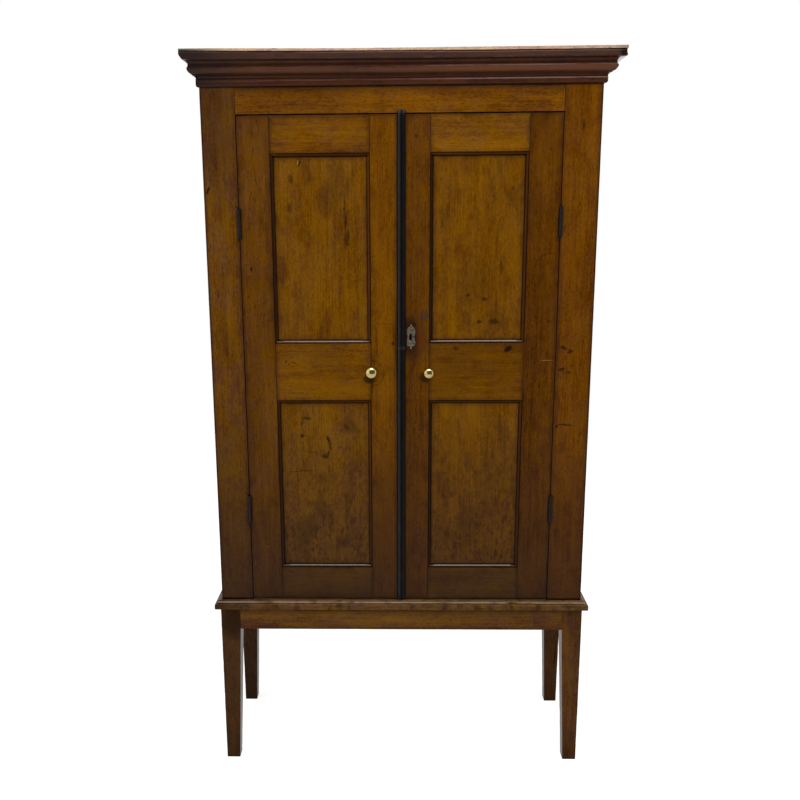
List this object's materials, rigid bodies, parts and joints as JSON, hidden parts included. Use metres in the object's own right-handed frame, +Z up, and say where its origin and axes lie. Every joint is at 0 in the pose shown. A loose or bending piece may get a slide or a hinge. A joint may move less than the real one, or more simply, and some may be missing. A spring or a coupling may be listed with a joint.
{
  "type": "kas cupboard",
  "caption": "Tall kas cupboard with two panelled doors, a moulded cornice and inner shelves, set on a separate stand with tapered legs.",
  "frame": {"origin": "bottom centre of the whole cupboard's box, on the floor", "axes": "+X to the right seen from the front, +Y from the front to the back, +Z up"},
  "size_m": [1.156, 0.444, 2.0565],
  "materials": {
    "case_wood": "old oiled and waxed hardwood, golden brown",
    "door_wood": "old oiled and waxed hardwood, amber brown",
    "panel_wood": "old oiled and waxed flat panel, mottled amber",
    "cornice_wood": "dark red-brown varnish",
    "stand_wood": "worn brown varnish",
    "raw_wood": "unfinished sawn softwood",
    "inside_wood": "dry planed softwood",
    "black_strip": "ebonised, satin",
    "polished_brass": "polished and lacquered",
    "aged_brass": "dull grey-brown patina",
    "hinge_iron": "blackened",
    "screw_iron": "old slotted steel"
  },
  "bodies": {
    "case": {"leg_front_left": "stand_wood", "leg_front_right": "stand_wood", "leg_back_left": "stand_wood", "leg_back_right": "stand_wood", "apron_front": "stand_wood", "apron_back": "stand_wood", "apron_left": "stand_wood", "apron_right": "stand_wood", "stand_moulding_front": "stand_wood", "stand_moulding_left": "stand_wood", "stand_moulding_right": "stand_wood", "side_left": "case_wood", "side_right": "case_wood", "face_stile_left": "case_wood", "face_stile_right": "case_wood", "face_top_rail": "case_wood", "bottom_board": "inside_wood", "top_board": "raw_wood", "dust_board": "raw_wood", "back_boards": "raw_wood", "shelf_lower": "inside_wood", "shelf_middle": "inside_wood", "shelf_upper": "inside_wood", "shelf_cleats": "raw_wood", "cornice_front": "cornice_wood", "cornice_left": "cornice_wood", "cornice_right": "cornice_wood", "door_stops": "raw_wood", "case_hinge_leaves": "hinge_iron", "hinge_pins": "hinge_iron", "case_hinge_screws": "screw_iron", "bolt_keepers": "aged_brass"},
    "left_door": {"left_hinge_stile": "door_wood", "left_meeting_stile": "door_wood", "left_top_rail": "door_wood", "left_lock_rail": "door_wood", "left_bottom_rail": "door_wood", "left_upper_panel": "panel_wood", "left_lower_panel": "panel_wood", "left_knob": "polished_brass", "left_hinge_leaves": "hinge_iron", "left_hinge_screws": "screw_iron", "bolt_guides": "aged_brass"},
    "right_door": {"right_hinge_stile": "door_wood", "right_meeting_stile": "door_wood", "right_top_rail": "door_wood", "right_lock_rail": "door_wood", "right_bottom_rail": "door_wood", "right_upper_panel": "panel_wood", "right_lower_panel": "panel_wood", "right_knob": "polished_brass", "right_hinge_leaves": "hinge_iron", "right_hinge_screws": "screw_iron", "astragal": "black_strip", "escutcheon": "aged_brass", "lock_case": "aged_brass", "lock_cap": "aged_brass"},
    "upper_bolt": {"upper_bolt": "aged_brass"},
    "lower_bolt": {"lower_bolt": "aged_brass"},
    "lock_bolt": {"lock_bolt": "aged_brass"}
  },
  "joints": [
    {"name": "left_door_hinge", "type": "hinge", "parent": "case", "child": "left_door", "pos_m": [-0.44325, -0.1818, 1.2095], "axis": [0, 0, -1], "range_deg": [0, 170]},
    {"name": "right_door_hinge", "type": "hinge", "parent": "case", "child": "right_door", "pos_m": [0.42875, -0.1818, 1.2095], "axis": [0, 0, 1], "range_deg": [0, 170]},
    {"name": "upper_bolt_slide", "type": "slide", "parent": "left_door", "child": "upper_bolt", "axis": [0, 0, 1], "range_m": [0, 0.018]},
    {"name": "lower_bolt_slide", "type": "slide", "parent": "left_door", "child": "lower_bolt", "axis": [0, 0, -1], "range_m": [0, 0.018]},
    {"name": "lock_bolt_slide", "type": "slide", "parent": "right_door", "child": "lock_bolt", "axis": [-1, 0, 0], "range_m": [0, 0.009]}
  ]
}
